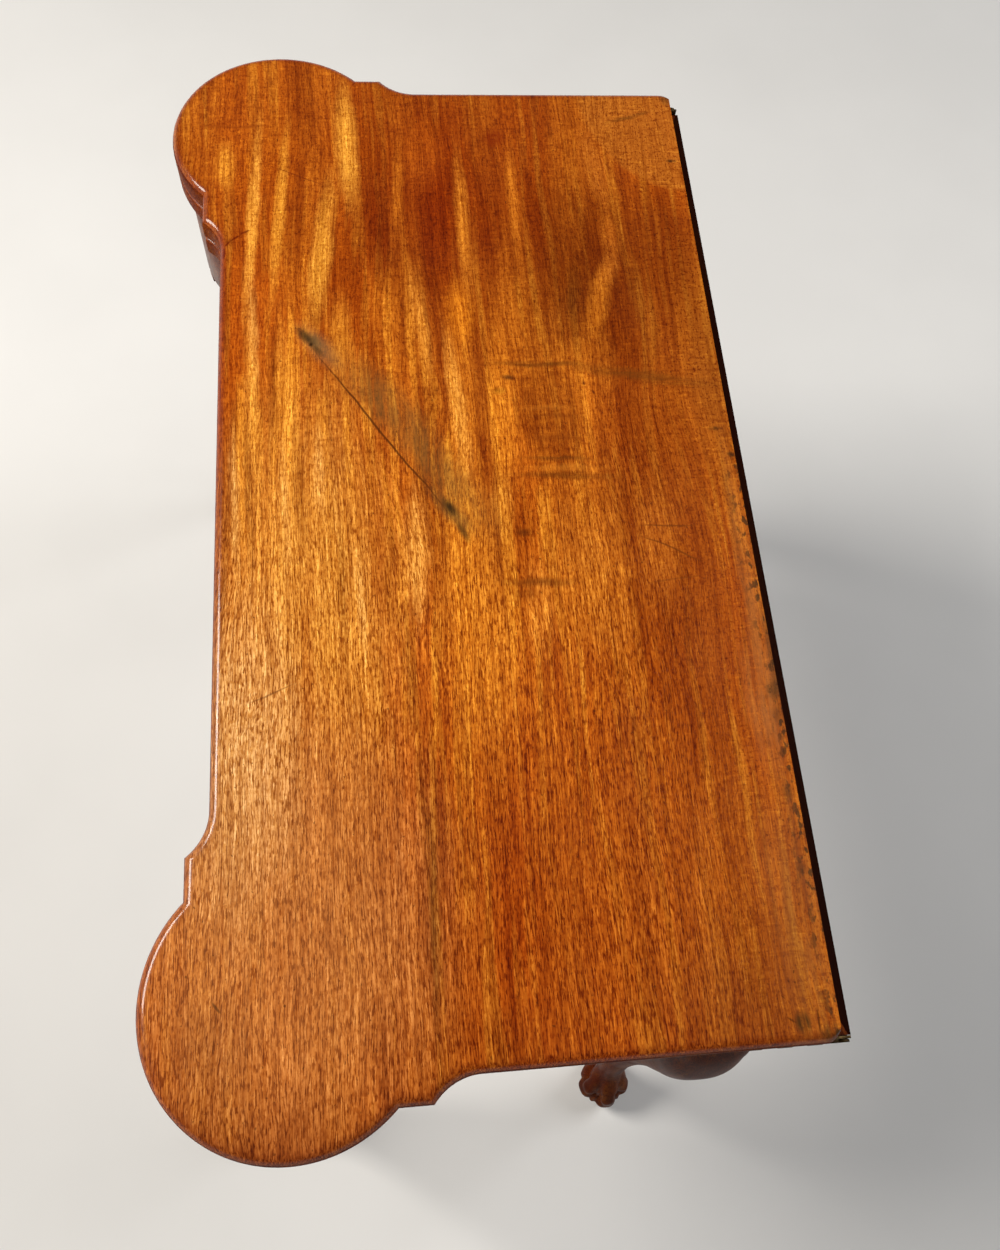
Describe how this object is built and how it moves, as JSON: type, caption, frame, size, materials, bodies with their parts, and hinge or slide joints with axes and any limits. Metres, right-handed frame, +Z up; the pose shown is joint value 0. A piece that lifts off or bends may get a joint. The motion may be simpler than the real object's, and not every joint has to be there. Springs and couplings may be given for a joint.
{
  "type": "games table",
  "caption": "Fold-over mahogany games table with round turret corners, a hinged upper leaf over a baize playing surface, cabriole legs with claw feet, and a swing leg to carry the open leaf.",
  "frame": {"origin": "on the floor, under the middle of the closed table's bounding box", "axes": "+X along the table to its right end, +Y towards the hinge edge at the back, +Z up"},
  "size_m": [0.9052, 0.458, 0.725],
  "materials": {
    "mahogany": "polished, worn",
    "oak": "bare",
    "baize": "woollen baize",
    "brass": "dull",
    "iron": "dull"
  },
  "bodies": {
    "frame": {"lower_leaf": "mahogany", "lower_baize": "baize", "left_hinge_lower_strap": "brass", "left_hinge_pin": "brass", "right_hinge_lower_strap": "brass", "right_hinge_pin": "brass", "front_rail": "mahogany", "left_turret_block": "mahogany", "right_turret_block": "mahogany", "left_end_rail": "mahogany", "right_end_rail": "mahogany", "back_rail": "oak", "fixed_fly_rail": "mahogany", "swing_pivot_pin": "iron", "cross_rail": "oak", "left_front_glue_block": "oak", "right_front_glue_block": "oak", "left_back_glue_block": "oak", "right_back_glue_block": "oak", "left_end_glue_block": "oak", "right_end_glue_block": "oak", "left_front_leg": "mahogany", "right_front_leg": "mahogany", "right_rear_leg": "mahogany", "left_front_knee_bracket": "mahogany", "left_end_knee_bracket": "mahogany", "right_front_knee_bracket": "mahogany", "right_end_knee_bracket": "mahogany", "right_rear_end_bracket": "mahogany", "right_rear_fly_bracket": "mahogany"},
    "top_leaf": {"upper_leaf": "mahogany", "upper_baize": "baize", "left_hinge_upper_strap": "brass", "right_hinge_upper_strap": "brass"},
    "gate": {"swing_rail": "mahogany", "swing_leg": "mahogany", "swing_end_bracket": "mahogany", "swing_fly_bracket": "mahogany"}
  },
  "joints": [
    {"name": "leaf_hinge", "type": "hinge", "parent": "frame", "child": "top_leaf", "pos_m": [0, 0.22258, 0.70375], "axis": [-1, 0, 0], "range_deg": [0, 180]},
    {"name": "gate_swing", "type": "hinge", "parent": "frame", "child": "gate", "pos_m": [-0.03, 0.18553, 0.5852], "axis": [0, 0, -1], "range_deg": [0, 90]}
  ]
}
